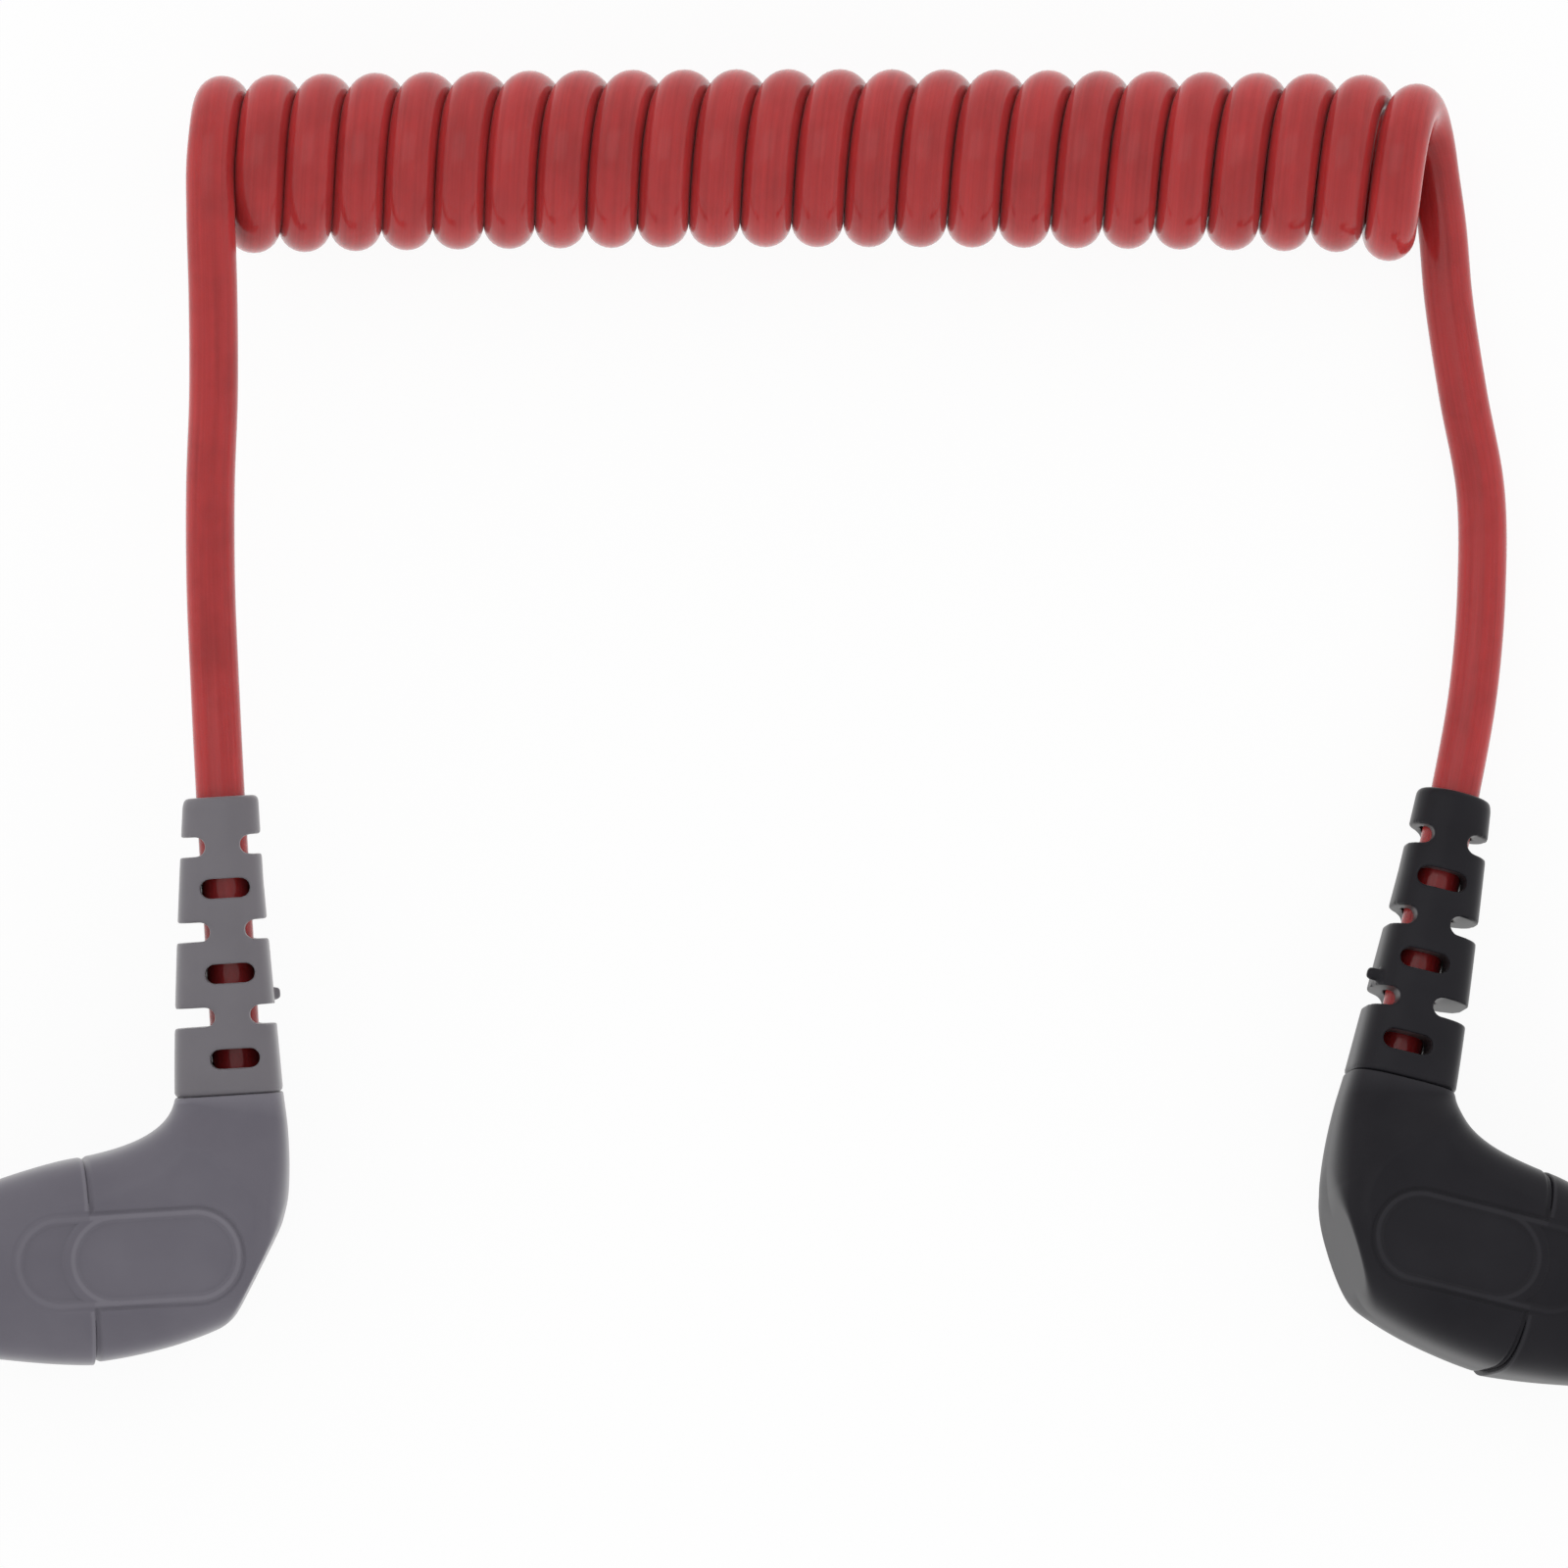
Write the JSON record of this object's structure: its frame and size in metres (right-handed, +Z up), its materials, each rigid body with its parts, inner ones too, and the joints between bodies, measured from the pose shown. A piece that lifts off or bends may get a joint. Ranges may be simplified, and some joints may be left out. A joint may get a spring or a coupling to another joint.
{
  "type": "coiled audio patch cable",
  "caption": "Red coiled patch lead between a grey and a black right-angle mini-jack plug, with slotted strain reliefs; the coil stretches and springs back.",
  "frame": {"origin": "on the surface that the lead lies on, at the middle of the box that holds the two plugs", "axes": "+X along the coil from the grey plug to the black one, +Y from the plugs to the coil, +Z up"},
  "size_m": [0.1152, 0.0683, 0.0105],
  "materials": {
    "cord_jacket": "satin moulded polyurethane jacket, deep red",
    "housing_grey": "fine matt moulded grey",
    "boot_grey": "soft matt moulded grey",
    "housing_black": "fine matt moulded black",
    "boot_black": "soft matt moulded black",
    "gold_plate": "gold-plated and polished",
    "insulator": "smooth black bands",
    "inner_core": "natural white moulding",
    "wire_red": "insulated conductor",
    "wire_green": "insulated conductor",
    "wire_white": "insulated conductor",
    "wire_brown": "insulated conductor"
  },
  "bodies": {
    "grey_end": {"grey_jack_tip": "gold_plate", "grey_tip_insulator": "insulator", "grey_jack_ring_front": "gold_plate", "grey_front_ring_insulator": "insulator", "grey_jack_ring_rear": "gold_plate", "grey_rear_ring_insulator": "insulator", "grey_jack_sleeve": "gold_plate", "grey_wire_tip": "wire_red", "grey_wire_ring_front": "wire_green", "grey_wire_ring_rear": "wire_white", "grey_wire_sleeve": "wire_brown", "grey_inner_core": "inner_core", "grey_cable_clamp": "gold_plate", "grey_front_collar": "housing_grey", "grey_elbow_cover": "housing_grey", "grey_strain_relief": "boot_grey", "lead_grey": "cord_jacket", "coil": "cord_jacket"},
    "black_end": {"black_jack_tip": "gold_plate", "black_tip_insulator": "insulator", "black_jack_ring": "gold_plate", "black_ring_insulator": "insulator", "black_jack_sleeve": "gold_plate", "black_wire_tip": "wire_red", "black_wire_ring": "wire_green", "black_wire_sleeve": "wire_brown", "black_inner_core": "inner_core", "black_cable_clamp": "gold_plate", "black_front_collar": "housing_black", "black_elbow_cover": "housing_black", "black_strain_relief": "boot_black", "lead_black": "cord_jacket"}
  },
  "joints": [
    {"name": "coil_stretch", "type": "slide", "parent": "grey_end", "child": "black_end", "axis": [1, 0, 0], "range_m": [0, 0.18], "stiffness_N_per_m": 15, "deforming": ["coil"]}
  ]
}
